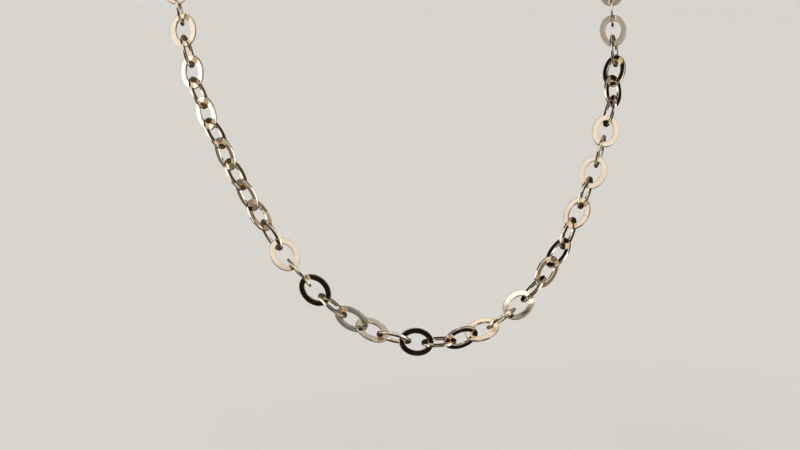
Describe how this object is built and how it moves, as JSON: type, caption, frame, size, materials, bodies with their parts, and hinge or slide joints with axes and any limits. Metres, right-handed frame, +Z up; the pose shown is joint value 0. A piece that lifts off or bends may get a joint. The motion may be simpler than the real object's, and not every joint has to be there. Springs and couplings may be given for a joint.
{
  "type": "rolo chain necklace",
  "caption": "Gold necklace of flat oval rolo links that hook into each other, worn as a whole loop and closed by a parrot clasp between two end rings.",
  "frame": {"origin": "middle of the worn loop at the height of the nape, where the neck goes through", "axes": "+Z up, the front of the necklace faces -Y, +X to the right of a viewer in front"},
  "size_m": [0.1335, 0.102, 0.1214],
  "materials": {
    "links": "mirror polished pale yellow gold",
    "findings": "polished pale yellow gold"
  },
  "bodies": {
    "root": {"chain_left": "links", "chain_right": "links", "clasp": "findings", "clasp_ring": "findings", "catch_ring": "findings"}
  },
  "joints": []
}
